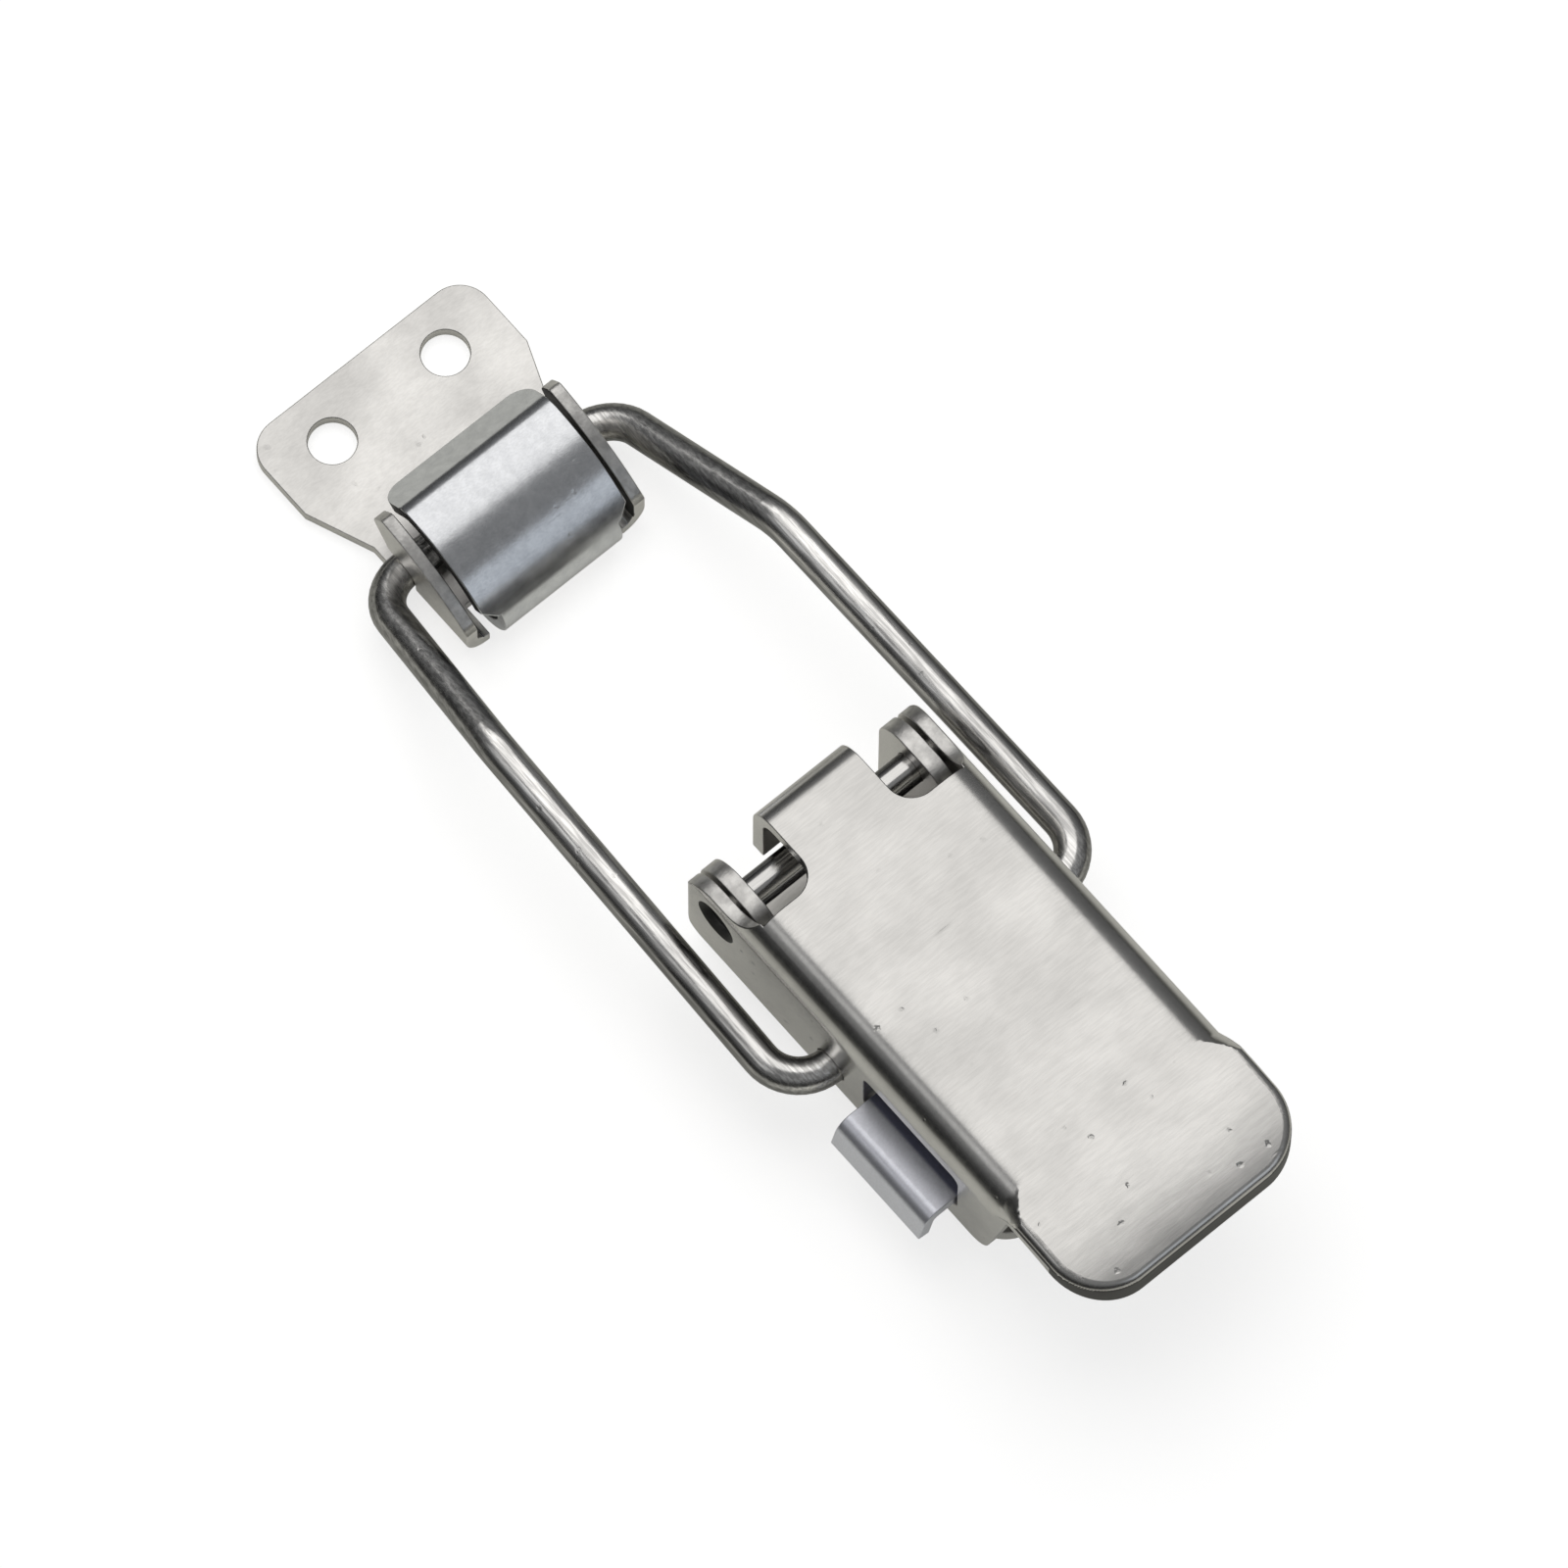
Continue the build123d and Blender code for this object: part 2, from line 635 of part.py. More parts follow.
with BuildPart() as safety_catch:
    # cross plate
    with BuildSketch(Plane.XY.offset(catch_bottom_z)):
        with BuildLine():
            Polyline(
                (catch_root_rear_x, catch_half_width),
                (tab_rear_x, catch_half_width),
                (tab_rear_x, tab_join_y),
                (tab_front_x, tab_join_y),
                (tab_front_x, -catch_half_width),
                (catch_root_rear_x, -catch_half_width),
                close=True,
            )
        make_face()
    extrude(amount=catch_sheet)
    # ears, folded up from the plate's front corners and reaching forward to the bail's ends
    with BuildSketch(Plane.YZ.offset(catch_front_x)):
        with BuildLine():
            FilletPolyline(
                (-catch_half_width, catch_ear_top_z),
                (-catch_half_width, catch_bottom_z),
                (catch_half_width, catch_bottom_z),
                (catch_half_width, catch_ear_top_z),
                radius=catch_bend_radius,
            )
            offset(amount=catch_sheet, side=Side.LEFT)
        make_face()
        Rectangle(
            catch_leg_width + 2 * catch_relief,
            2 * (catch_top_z + over),
            mode=Mode.SUBTRACT,
        )
    extrude(amount=catch_root_rear_x - catch_front_x)
    for side in (1, -1):
        with BuildSketch(Plane.XZ.offset(-side * catch_inner_half_width)):
            with Locations((bail_hole_x, bail_hole_z)):
                Circle(catch_ear_radius)
            with Locations((bail_hole_x, catch_ear_top_z)):
                Rectangle(
                    catch_ear_radius,
                    catch_ear_top_z - catch_bottom_z - catch_bend_radius,
                    align=(Align.MIN, Align.MAX),
                )
        extrude(amount=-side * catch_sheet)
    # leg and foot
    with BuildSketch(Plane.XZ):
        with BuildLine():
            Polyline(
                (leg_root_x, catch_top_z),
                (catch_front_x, catch_top_z),
                (catch_front_x, foot_top_z),
                (foot_tip_x, foot_top_z),
                (foot_tip_x, foot_bottom_z),
                (leg_rear_x, foot_bottom_z),
                (leg_rear_x, catch_bottom_z),
                (leg_root_x, catch_bottom_z),
                close=True,
            )
        make_face()
        fillet(corner_at(catch_front_x, catch_top_z), catch_bend_radius)
        fillet(corner_at(leg_rear_x, foot_bottom_z), catch_bend_radius)
        fillet(corner_at(leg_rear_x, catch_bottom_z), catch_bend_radius - catch_sheet)
        fillet(corner_at(catch_front_x, foot_top_z), catch_bend_radius - catch_sheet)
    extrude(amount=leg_half_width, both=True)
    # thumb tab, curled down outside the flange
    with BuildSketch(Plane.YZ.offset(tab_front_x)):
        with BuildLine():
            Polyline(
                (tab_join_y, catch_top_z),
                (tab_bend_y, catch_top_z),
                lip_outer_end,
                lip_inner_end,
                (tab_inner_bend_y, catch_bottom_z),
                (tab_join_y, catch_bottom_z),
                close=True,
            )
        make_face()
        fillet(corner_at(tab_bend_y, catch_top_z), tab_bend_radius)
        fillet(corner_at(tab_inner_bend_y, catch_bottom_z), tab_bend_radius - catch_sheet)
    extrude(amount=tab_length)
    # holes for the bail's ends
    with BuildSketch(Plane.XZ):
        with Locations((bail_hole_x, bail_hole_z)):
            Circle(wire_radius + wire_clearance)
    extrude(amount=catch_half_width + over, both=True, mode=Mode.SUBTRACT)
save(safety_catch, "safety_catch")

# ---------------------------------------------------------------- torsion spring
# Coiled on the bail's left end: one leg under the lever's top, the other on the catch's plate.
spring_wire_radius = spring_wire_dia / 2
back_angle = radians(spring_back_angle)
coil_turns = spring_turns + (spring_back_angle - spring_leg_angle) / 360
coil_outer_y = -(catch_inner_half_width - spring_ear_gap - spring_wire_radius)
coil_inner_y = coil_outer_y + coil_turns * spring_pitch
coil_start_plane = Plane(
    (bail_hole_x, coil_inner_y, bail_hole_z),
    x_dir=(cos(back_angle), 0, sin(back_angle)),
    z_dir=(0, -1, 0),
)
with BuildLine() as coil:
    Helix(spring_pitch, coil_turns * spring_pitch, spring_radius, lefthand=True)
coil_path = coil.line.moved(coil_start_plane.location)
leg_start = coil_path @ 1
leg_direction = coil_path % 1
back_start = coil_path @ 0
back_direction = -(coil_path % 0)
leg_outward = Vector(leg_start.X - bail_hole_x, 0, leg_start.Z - bail_hole_z)
back_outward = Vector(back_start.X - bail_hole_x, 0, back_start.Z - bail_hole_z)
leg_drop = leg_start.Z - catch_top_z - spring_side_gap - spring_wire_radius
back_rise = inner_top_z - back_start.Z - spring_side_gap - spring_wire_radius

with BuildPart() as catch_spring:
    with BuildSketch(Plane(back_start, x_dir=back_outward, z_dir=-back_direction)):
        RegularPolygon(spring_wire_radius, spring_wire_sides)
    sweep(path=coil_path, is_frenet=True)
    with BuildSketch(Plane(leg_start, x_dir=leg_outward, z_dir=leg_direction)):
        RegularPolygon(spring_wire_radius, spring_wire_sides)
    extrude(amount=leg_drop / -leg_direction.Z)
    with BuildSketch(Plane(back_start, x_dir=back_outward, z_dir=back_direction)):
        RegularPolygon(spring_wire_radius, spring_wire_sides)
    extrude(amount=back_rise / back_direction.Z)
save(catch_spring, "catch_spring")
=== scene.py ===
"""Over centre toggle latch: finishes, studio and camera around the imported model."""

import json
from math import cos, pi, radians, sin

import bmesh
import bpy
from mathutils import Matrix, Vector


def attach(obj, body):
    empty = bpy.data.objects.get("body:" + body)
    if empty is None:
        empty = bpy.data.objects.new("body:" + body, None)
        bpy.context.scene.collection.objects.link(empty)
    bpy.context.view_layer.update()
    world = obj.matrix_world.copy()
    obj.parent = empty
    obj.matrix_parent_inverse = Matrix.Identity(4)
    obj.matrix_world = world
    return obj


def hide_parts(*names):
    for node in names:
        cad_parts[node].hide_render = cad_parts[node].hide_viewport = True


bl_info = {
    "name": "Toggle latch finishes",
    "version": (1, 0, 0),
    "blender": (4, 5, 0),
    "location": "3D View > Sidebar > Latch",
    "description": "Steel finishes, stage and camera for an over centre toggle latch",
    "category": "Object",
}

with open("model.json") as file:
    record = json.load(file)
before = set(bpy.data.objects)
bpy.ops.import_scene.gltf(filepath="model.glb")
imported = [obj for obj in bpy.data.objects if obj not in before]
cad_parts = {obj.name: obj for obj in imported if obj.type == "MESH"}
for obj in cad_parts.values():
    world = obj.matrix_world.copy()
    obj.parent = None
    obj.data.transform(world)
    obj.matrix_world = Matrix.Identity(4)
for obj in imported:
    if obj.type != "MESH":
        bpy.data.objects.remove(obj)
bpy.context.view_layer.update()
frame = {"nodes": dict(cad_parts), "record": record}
BODY_OF = {
    node: body
    for body, nodes in frame["record"]["behaviour"]["bodies"].items()
    for node in nodes
}

MM = 0.001
MICRON = 1e-6
WHITE = (1.0, 1.0, 1.0, 1.0)

FLOAT = "NodeSocketFloat"
COLOUR = "NodeSocketColor"
VECTOR = "NodeSocketVector"

# The noises: detail, and how strong the fine detail is.
STREAK_NOISE = (3.0, 0.6)
CLOUD_NOISE = (3.0, 0.55)
PATCH_DETAIL = 1.0
HAZE_SCALE_SHARE = 0.3

# Pits and scratches. They only show in patches, where a slow noise is past its edge.
PIT_WOBBLE = 1.0 * MM
WOBBLES_PER_METRE = 1500.0
PIT_PATCHES_PER_METRE = 95.0
PIT_PATCH_EDGE = (0.47, 0.56)
PIT_TINT = (0.3, 0.3, 0.29, 1.0)
PIT_COVER = 0.6
PIT_DEPTH = 60.0 * MICRON
SCRATCH_STRETCH = (1.0, 0.11, 1.0)
SCRATCH_WIDTH = 0.14
SCRATCH_PATCHES_PER_METRE = 140.0
SCRATCH_PATCH_EDGE = (0.5, 0.62)
SCRATCH_SHARE = 0.5

# The parts of each noise, or of the facing value, that a tint or a roughness spreads over.
STREAK_RANGE = (0.35, 0.65)
HAZE_RANGE = (0.3, 0.7)
CLOUD_RANGE = (0.3, 0.7)
# Painted shade: the facing values over which the wire and the pin darken towards their outline.
OUTLINE_SHADE_RANGE = (0.12, 0.55)

# Painted shade on the safety catch's tab, where it goes in under the lever's side wall: a dark
# blue tint between two places on the Y axis, in metres, and the length over which it fades.
CATCH_SHADE_STRIP = (-12.1 * MM, -10.3 * MM, (0.3, 0.31, 0.42, 1.0))
SHADE_STRIP_FADE = 0.4 * MM

# Where the faces with a finish of their own lie, in millimetres, and where the faces painted
# near-black as shade lie: round the lever's tip, on its notches' and pivot holes' walls, and in
# the keeper's slits. A wall is given by how far its inner and its outer side are from the middle
# plane.
LEVER_WALL = (10.85, 12.25)
BASE_WALL = (8.9, 10.5)
KEEPER_WALL = (8.55, 9.75)
KEEPER_EAR_LOW_Z = 2.0
KEEPER_PLATE_END_X = -51.0
TONGUE_SIDE_Y = 7.95
TONGUE_LOW_Z = 1.3
SLIT_Y = (7.8, 8.6)
TIP_X = 37.5
NOTCH_X = (-1.0, 5.0)
NOTCH_Y = (4.7, 12.3)
NOTCH_LOW_Z = 16.9
PIVOT_Z = 12.2  # the pin's axis, at X = 0
PIVOT_REACH = 2.3  # from that axis
PIVOT_INNER_Y = 10.8

# How much of a face's normal may lie along an axis, or has to.
CUT_MOST_Y = 0.3
SLIT_LEAST_Y = 0.9
TIP_MOST_Z = 0.35
NOTCH_MOST_Z = 0.3
PIVOT_MOST_Y = 0.8

# Rounding of the sheets' edges.
MERGE_DISTANCE = 0.002 * MM
CLEAN_ANGLE = radians(0.6)
ROUNDED_ANGLE = radians(60)
ROUNDING_STEPS = 3
FACE_WEIGHT = 100

# The floor, in metres. Mirrored means as the steel sees it: dimmer, and more so to the side.
FLOOR_HALF = 1.5
FLOOR_Z = -0.02 * MM
FLOOR_COLOUR = (0.86, 0.855, 0.845, 1.0)
FLOOR_GLOW = 0.7
MIRRORED_COLOUR = (0.95, 0.945, 0.85, 1.0)
MIRRORED_GLOW = 0.14
MIRRORED_FADE_Y = (0.04, 0.11)
MIRRORED_FAR_SHARE = 0.08

# Area lamps round the latch: direction, width and height in metres, radiance, colour.
LAMPS = {
    "lamp_back": ((-0.34, 0.22, 0.9), (0.72, 0.7), 0.9, (1.0, 0.99, 0.975)),
    "lamp_left": ((-0.22, -0.62, 0.78), (0.5, 0.17), 0.45, (1.0, 1.0, 1.0)),
    "lamp_right": ((0.85, 0.25, 0.5), (0.3, 0.3), 0.5, (0.84, 0.91, 1.0)),
}
LAMP_TARGET = Vector((-0.008, 0.0, 0.01))
LAMP_DISTANCE = 0.7

# The room's own light: low down it rises from the -Y side to the +Y side, and from there it
# rises all round to one level overhead. The steel mirrors this room. The camera sees white.
ROOM_TINT = (0.97, 0.985, 1.0, 1.0)
ROOM_SIDES = (-0.1, 0.6)
ROOM_LOW_LEVELS = (0.02, 0.13)
ROOM_HEIGHTS = (0.15, 0.85)
ROOM_TOP_LEVEL = 0.22

CAMERA_TARGET = Vector((-0.00922, 0.00303, 0.0))
SENSOR_WIDTH = 36.0
CLIP_START = 0.01
CLIP_END = 10.0


# ---------------------------------------------------------------- node helpers
class Tree:
    """A node tree that is filled by short calls."""

    def __init__(self, tree):
        self.tree = tree
        tree.nodes.clear()

    def add(self, kind, **settings):
        """A new node; keys are properties, and keys that end in _in are input values."""
        node = self.tree.nodes.new(kind)
        for key, value in settings.items():
            if key.endswith("_in"):
                self.put(node.inputs[key[:-3].replace("_", " ")], value)
            else:
                setattr(node, key, value)
        return node

    def put(self, socket, value):
        """Link value into socket when it is a socket, and write it there when it is not."""
        if isinstance(value, bpy.types.NodeSocket):
            self.tree.links.new(value, socket)
        else:
            socket.default_value = value

    def end(self, kind, shader):
        """The tree's output node, fed by shader."""
        self.put(self.add(kind).inputs[0], shader.outputs[0])

    def math(self, operation, *values, clamp=False):
        """The result of a Math node."""
        node = self.add("ShaderNodeMath", operation=operation, use_clamp=clamp)
        for socket, value in zip(node.inputs, values):
            self.put(socket, value)
        return node.outputs[0]

    def remap(self, value, low, high, to_low=0.0, to_high=1.0):
        """value, with low..high smoothly carried to to_low..to_high."""
        node = self.add("ShaderNodeMapRange", interpolation_type="SMOOTHSTEP")
        for socket, number in zip(node.inputs, (value, low, high, to_low, to_high)):
            self.put(socket, number)
        return node.outputs["Result"]

    def mix(self, factor, first, second, blend="MIX"):
        """Two colours mixed; a Mix node's colours are inputs 6 and 7 and output 2."""
        node = self.add("ShaderNodeMix", data_type="RGBA", blend_type=blend)
        self.put(node.inputs[0], factor)
        self.put(node.inputs[6], first)
        self.put(node.inputs[7], second)
        return node.outputs[2]

    def tinted(self, factor, colour, tint):
        """colour, multiplied by tint as far as factor says."""
        return self.mix(factor, colour, self.mix(1.0, colour, tint, "MULTIPLY"))

    def noise(self, vector, scale, detail=2.0, roughness=0.5):
        """A noise value from 0 to 1."""
        node = self.add(
            "ShaderNodeTexNoise", Vector_in=vector, Scale_in=scale, Detail_in=detail,
            Roughness_in=roughness)
        return node.outputs[0]

    def cells(self, vector, scale):
        """The distance to the nearest of many scattered points."""
        node = self.add(
            "ShaderNodeTexVoronoi", feature="F1", Vector_in=vector, Scale_in=scale)
        return node.outputs["Distance"]

    def vector_math(self, operation, first, second):
        """The result of a Vector Math node."""
        node = self.add("ShaderNodeVectorMath", operation=operation)
        self.put(node.inputs[0], first)
        self.put(node.inputs[1], second)
        return node.outputs[0]

    def axes(self, vector):
        """The X, Y and Z of vector."""
        node = self.add("ShaderNodeSeparateXYZ")
        self.put(node.inputs[0], vector)
        return node.outputs

    def seen_directly(self, path):
        """1 for rays of the camera and rays that went through something clear, else 0."""
        return self.math("MAXIMUM", path["Is Camera Ray"], path["Is Transmission Ray"])

    def group(self, group, **values):
        """A shader group's outputs; keys are its input names with underscores."""
        node = self.add("ShaderNodeGroup", node_tree=group)
        for key, value in values.items():
            self.put(node.inputs[key.replace("_", " ")], value)
        return node.outputs


def new_group(name, inputs, outputs):
    """A shader group; inputs are (name, socket kind, default), outputs (name, socket kind)."""
    group = bpy.data.node_groups.new(name, "ShaderNodeTree")
    for label, kind, default in inputs:
        socket = group.interface.new_socket(name=label, in_out="INPUT", socket_type=kind)
        if default is not None:
            socket.default_value = default
    for label, kind in outputs:
        group.interface.new_socket(name=label, in_out="OUTPUT", socket_type=kind)
    tree = Tree(group)
    entry = tree.add("NodeGroupInput")
    leave = tree.add("NodeGroupOutput")
    return group, tree, entry.outputs, leave.inputs


def rubbed_grain_group():
    """Fine streaks along one axis, from rolling and rubbing."""
    group, tree, given, out = new_group(
        "rubbed_grain",
        [
            ("Vector", VECTOR, None),
            ("Streaks per metre", FLOAT, 6000.0),
            ("Stretch", FLOAT, 0.06),
        ],
        [("Streak", FLOAT), ("Haze", FLOAT)],
    )
    along = tree.add("ShaderNodeCombineXYZ", X_in=1.0, Y_in=given["Stretch"], Z_in=1.0)
    vector = tree.vector_math("MULTIPLY", given["Vector"], along.outputs[0])
    broad_scale = tree.math("MULTIPLY", given["Streaks per metre"], HAZE_SCALE_SHARE)
    tree.put(out["Streak"], tree.noise(vector, given["Streaks per metre"], *STREAK_NOISE))
    tree.put(out["Haze"], tree.noise(vector, broad_scale))
    return group


def handling_marks_group():
    """Sparse small pits and short scratches."""
    group, tree, given, out = new_group(
        "handling_marks",
        [
            ("Vector", VECTOR, None),
            ("Pits per metre", FLOAT, 430.0),
            ("Pit size", FLOAT, 0.15),
            ("Scratches per metre", FLOAT, 800.0),
        ],
        [("Pit", FLOAT), ("Scratch", FLOAT)],
    )
    place = given["Vector"]
    wobble = tree.math("MULTIPLY", tree.noise(place, WOBBLES_PER_METRE), PIT_WOBBLE)
    pit = tree.cells(tree.vector_math("ADD", place, wobble), given["Pits per metre"])
    depth = tree.remap(pit, 0.0, given["Pit size"], 1.0, 0.0)
    pitted = tree.remap(
        tree.noise(place, PIT_PATCHES_PER_METRE, PATCH_DETAIL), *PIT_PATCH_EDGE)
    tree.put(out["Pit"], tree.math("MULTIPLY", depth, pitted))
    line = tree.cells(
        tree.vector_math("MULTIPLY", place, SCRATCH_STRETCH), given["Scratches per metre"])
    near_line = tree.remap(line, 0.0, SCRATCH_WIDTH, 1.0, 0.0)
    scratched = tree.remap(
        tree.noise(place, SCRATCH_PATCHES_PER_METRE, PATCH_DETAIL), *SCRATCH_PATCH_EDGE)
    tree.put(out["Scratch"], tree.math("MULTIPLY", near_line, scratched))
    return group


def cloudy_tint_group():
    """A colour that drifts slowly between two tints."""
    group, tree, given, out = new_group(
        "cloudy_tint",
        [
            ("Vector", VECTOR, None),
            ("Clouds per metre", FLOAT, 70.0),
            ("Light", COLOUR, (0.8, 0.8, 0.8, 1.0)),
            ("Dark", COLOUR, (0.7, 0.7, 0.7, 1.0)),
        ],
        [("Colour", COLOUR)],
    )
    cloud = tree.noise(given["Vector"], given["Clouds per metre"], *CLOUD_NOISE)
    factor = tree.remap(cloud, *CLOUD_RANGE)
    tree.put(out["Colour"], tree.mix(factor, given["Dark"], given["Light"]))
    return group


def shader_groups():
    """The shader groups by name, each built once."""
    makers = {
        "rubbed_grain": rubbed_grain_group,
        "handling_marks": handling_marks_group,
        "cloudy_tint": cloudy_tint_group,
    }
    return {
        name: bpy.data.node_groups.get(name) or make() for name, make in makers.items()
    }


def rgba(colour, factor=1.0):
    """A colour with its alpha, scaled."""
    return (*[c * factor for c in colour], 1.0)


def steel(name, light, dark, roughness, grain_depth, grain=6000.0, stretch=0.06, pits=0.0,
          spread=0.02, clouds=70.0, along_x=False, flecks=(0.96, 1.03), outline_shade=None, shade_strip=None,
          metallic=1.0):
    """A bare steel finish.

    light and dark are the two tints it drifts between, with clouds of them per metre.
    roughness varies by spread. grain is how many streaks there are per metre, grain_depth
    their depth in metres and stretch their width over their length; they run along Y, or
    along X with along_x, and scale the colour between the two flecks. pits is how strong
    pits and scratches are. outline_shade is painted shade: the metal's colour darkens towards
    its outline as the camera sees it.
    shade_strip = (start, end, tint) is painted shade: it darkens what lies between two places on
    the Y axis, in metres.
    """
    groups = shader_groups()
    material = bpy.data.materials.new(name)
    material.use_nodes = True
    tree = Tree(material.node_tree)
    place = tree.add("ShaderNodeTexCoord").outputs["Object"]
    if along_x:
        turn = tree.add("ShaderNodeMapping", Vector_in=place, Rotation_in=(0.0, 0.0, pi / 2))
        place = turn.outputs[0]
    tint = tree.group(
        groups["cloudy_tint"], Vector=place, Light=light, Dark=dark, Clouds_per_metre=clouds)
    streaks = tree.group(
        groups["rubbed_grain"], Vector=place, Streaks_per_metre=grain, Stretch=stretch)
    marks = tree.group(groups["handling_marks"], Vector=place)
    shader = tree.add("ShaderNodeBsdfPrincipled", Metallic_in=metallic)

    pit = tree.math("MULTIPLY", marks["Pit"], pits)
    scratch = tree.math("MULTIPLY", marks["Scratch"], pits)
    worn = tree.math(
        "MAXIMUM", pit, tree.math("MULTIPLY", scratch, SCRATCH_SHARE), clamp=True)
    cover = tree.math("MULTIPLY", worn, PIT_COVER)
    colour = tree.mix(cover, tint["Colour"], PIT_TINT)
    fleck = tree.remap(streaks["Streak"], *STREAK_RANGE, *flecks)
    colour = tree.mix(1.0, colour, fleck, "MULTIPLY")
    # Painted shade: a dark band across Y, between the two places of shade_strip.
    if shade_strip is not None:
        start, end, strip_tint = shade_strip
        y = tree.axes(place)["Y"]
        past = tree.remap(y, start, start + SHADE_STRIP_FADE)
        before = tree.remap(y, end - SHADE_STRIP_FADE, end, 1.0, 0.0)
        colour = tree.tinted(tree.math("MULTIPLY", past, before), colour, strip_tint)
    # Painted shade: the colour darkens towards the outline, by the facing value.
    if outline_shade is not None:
        facing = tree.add("ShaderNodeLayerWeight", Blend_in=0.5).outputs["Facing"]
        colour = tree.tinted(tree.remap(facing, *OUTLINE_SHADE_RANGE), colour, outline_shade)
    tree.put(shader.inputs["Base Color"], colour)

    haze = tree.remap(
        streaks["Haze"], *HAZE_RANGE, roughness - spread, roughness + spread)
    tree.put(shader.inputs["Roughness"], haze)
    height = tree.math(
        "SUBTRACT",
        tree.math("MULTIPLY", streaks["Streak"], grain_depth),
        tree.math("MULTIPLY", worn, PIT_DEPTH),
    )
    bump = tree.add("ShaderNodeBump", Distance_in=1.0, Strength_in=1.0, Height_in=height)
    tree.put(shader.inputs["Normal"], bump.outputs[0])
    tree.end("ShaderNodeOutputMaterial", shader)
    return material


# ---------------------------------------------------------------- settings
class LatchFinish(bpy.types.PropertyGroup):
    """Colours and finish of the steel pieces."""

    sheet_colour: bpy.props.FloatVectorProperty(
        name="Sheet colour", description="Colour of the rolled sheet", size=3,
        subtype="COLOR", min=0.0, max=1.0, default=(0.79, 0.775, 0.75),
    )
    wire_colour: bpy.props.FloatVectorProperty(
        name="Wire colour", description="Colour of the drawn wire", size=3,
        subtype="COLOR", min=0.0, max=1.0, default=(0.60, 0.59, 0.575),
    )
    edge_softness: bpy.props.FloatProperty(
        name="Edge softness", description="How far the cut edges of the sheets are rounded off",
        unit="LENGTH", min=0.0, default=0.12 * MM,
    )


class LatchStage(bpy.types.PropertyGroup):
    """Where the camera stands and how much it sees."""

    roll: bpy.props.FloatProperty(
        name="Roll", description="Turn of the camera about its own line of sight",
        subtype="ANGLE", default=radians(0.35),
    )
    azimuth: bpy.props.FloatProperty(
        name="Azimuth", description="Turn of the camera about the upright axis, 0 in front (-Y)",
        subtype="ANGLE", default=radians(49.3),
    )
    elevation: bpy.props.FloatProperty(
        name="Elevation", description="Height of the camera above the floor as an angle",
        subtype="ANGLE", default=radians(68.94),
    )
    distance: bpy.props.FloatProperty(
        name="Distance", description="From the camera to the point it looks at",
        unit="LENGTH", default=1.5,
    )
    field: bpy.props.FloatProperty(
        name="Field", description="Width of what the camera sees at that point",
        unit="LENGTH", default=0.1310,
    )


# ---------------------------------------------------------------- pieces
# Tests for faces with a finish of their own, and for faces painted near-black as shade. They
# take a face's middle, in millimetres, and its normal.
def cut_across(wall, low=0.0):
    """A test for faces that cut through an upright wall, above a height."""
    inner, outer = wall

    def test(middle, normal):
        within = inner < abs(middle.y) < outer and middle.z > low
        return within and abs(normal.y) < CUT_MOST_Y

    return test


def tongue_face(middle, normal):
    """Faces of the keeper's rolled tongue."""
    beyond_plate = middle.x > KEEPER_PLATE_END_X and middle.z > TONGUE_LOW_Z
    return beyond_plate and abs(middle.y) < TONGUE_SIDE_Y


def keeper_slit_painted_shade(middle, normal):
    """Painted shade: the walls of the slits between the keeper's ears and its tongue."""
    within = middle.x > KEEPER_PLATE_END_X and SLIT_Y[0] < abs(middle.y) < SLIT_Y[1]
    return within and abs(normal.y) > SLIT_LEAST_Y


def lever_painted_shade(middle, normal):
    """Painted shade: the lever's turned-down edge round its tip, its notches' walls and its
    pivot holes' walls.
    """
    y = abs(middle.y)
    tip = middle.x > TIP_X and abs(normal.z) < TIP_MOST_Z
    notch = (
        NOTCH_X[0] < middle.x < NOTCH_X[1]
        and NOTCH_Y[0] < y < NOTCH_Y[1]
        and middle.z > NOTCH_LOW_Z
        and abs(normal.z) < NOTCH_MOST_Z
    )
    from_pivot = Vector((middle.x, middle.z - PIVOT_Z)).length
    bore = y > PIVOT_INNER_Y and abs(normal.y) < PIVOT_MOST_Y and from_pivot < PIVOT_REACH
    return tip or notch or bore


def finished_copy(node, materials, tests, softness):
    """A copy of a CAD node with its cut edges rounded off, which stands for the node.

    Faces that pass tests[i] take materials[i + 1], and the others materials[0].
    """
    mesh = frame["nodes"][node].data.copy()
    mesh.materials.clear()
    for material in materials:
        mesh.materials.append(material)
    piece = bpy.data.objects.new(node + "_finished", mesh)
    bpy.context.scene.collection.objects.link(piece)

    shape = bmesh.new()
    shape.from_mesh(mesh)
    bmesh.ops.remove_doubles(shape, verts=shape.verts, dist=MERGE_DISTANCE)
    bmesh.ops.dissolve_limit(
        shape, angle_limit=CLEAN_ANGLE, verts=shape.verts, edges=shape.edges
    )
    bmesh.ops.recalc_face_normals(shape, faces=shape.faces)
    for face in shape.faces:
        face.smooth = True
        face.material_index = 0
        middle = face.calc_center_median() / MM
        for index, test in enumerate(tests, start=1):
            if test(middle, face.normal):
                face.material_index = index
    shape.to_mesh(mesh)
    shape.free()

    bevel = piece.modifiers.new("edges", "BEVEL")
    bevel.width = softness
    bevel.segments = ROUNDING_STEPS
    bevel.limit_method = "ANGLE"
    bevel.angle_limit = ROUNDED_ANGLE
    bevel.use_clamp_overlap = False
    bevel.loop_slide = False
    flat = piece.modifiers.new("flat faces", "WEIGHTED_NORMAL")
    flat.mode = "FACE_AREA"
    flat.weight = FACE_WEIGHT
    graph = bpy.context.evaluated_depsgraph_get()
    made = bpy.data.meshes.new_from_object(
        piece.evaluated_get(graph), preserve_all_data_layers=True, depsgraph=graph
    )
    piece.modifiers.clear()
    piece.data = made
    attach(piece, BODY_OF[node])
    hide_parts(node)


def dress(node, material):
    """Give a CAD node its finish."""
    slots = frame["nodes"][node].data.materials
    slots.clear()
    slots.append(material)


